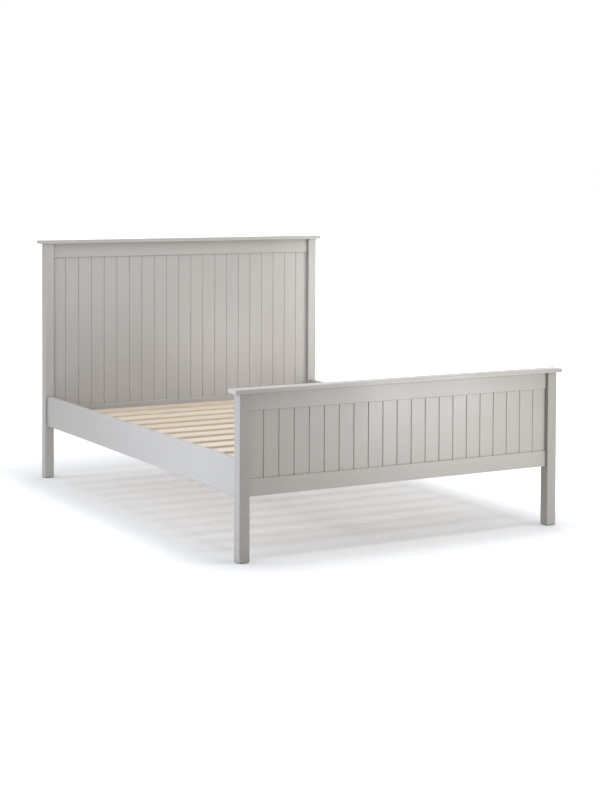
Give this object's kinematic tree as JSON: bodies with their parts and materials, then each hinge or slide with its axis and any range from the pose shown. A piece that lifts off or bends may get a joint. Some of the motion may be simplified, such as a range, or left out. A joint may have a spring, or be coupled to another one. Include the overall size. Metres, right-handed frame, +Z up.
{
  "type": "bed frame",
  "caption": "Painted wooden double bed frame with a high grooved headboard, a low grooved footboard, overhanging caps, plain side rails and a base of pine slats for a mattress.",
  "frame": {"origin": "on the floor under the middle of the bed, the bottom centre of its box", "axes": "+Y along the bed from the footboard to the headboard, +Z up, +X to the right seen from the foot"},
  "size_m": [1.492, 2.018, 1.108],
  "materials": {
    "grey_paint": "satin paint over wood",
    "pine": "planed, bare",
    "plain_wood": "planed, bare",
    "zinc_steel": "zinc plated",
    "glide_plastic": "moulded"
  },
  "bodies": {
    "root": {"headboard_left_post": "grey_paint", "headboard_right_post": "grey_paint", "headboard_top_rail": "grey_paint", "headboard_bottom_rail": "grey_paint", "headboard_panel": "grey_paint", "headboard_cap": "grey_paint", "footboard_left_post": "grey_paint", "footboard_right_post": "grey_paint", "footboard_top_rail": "grey_paint", "footboard_bottom_rail": "grey_paint", "footboard_panel": "grey_paint", "footboard_cap": "grey_paint", "left_side_rail": "grey_paint", "right_side_rail": "grey_paint", "slat_01": "pine", "slat_02": "pine", "slat_03": "pine", "slat_04": "pine", "slat_05": "pine", "slat_06": "pine", "slat_07": "pine", "slat_08": "pine", "slat_09": "pine", "slat_10": "pine", "slat_11": "pine", "slat_12": "pine", "slat_13": "pine", "slat_14": "pine", "left_slat_ledger": "plain_wood", "right_slat_ledger": "plain_wood", "centre_rail": "plain_wood", "headboard_cap_tongue": "plain_wood", "footboard_cap_tongue": "plain_wood", "centre_rail_head_hanger": "zinc_steel", "centre_rail_foot_hanger": "zinc_steel", "hanger_bolts": "zinc_steel", "crescent_washers": "zinc_steel", "hexagon_nuts": "zinc_steel", "slat_screws": "zinc_steel", "hanger_screws": "zinc_steel", "head_left_glide": "glide_plastic", "head_right_glide": "glide_plastic", "foot_left_glide": "glide_plastic", "foot_right_glide": "glide_plastic"}
  },
  "joints": []
}
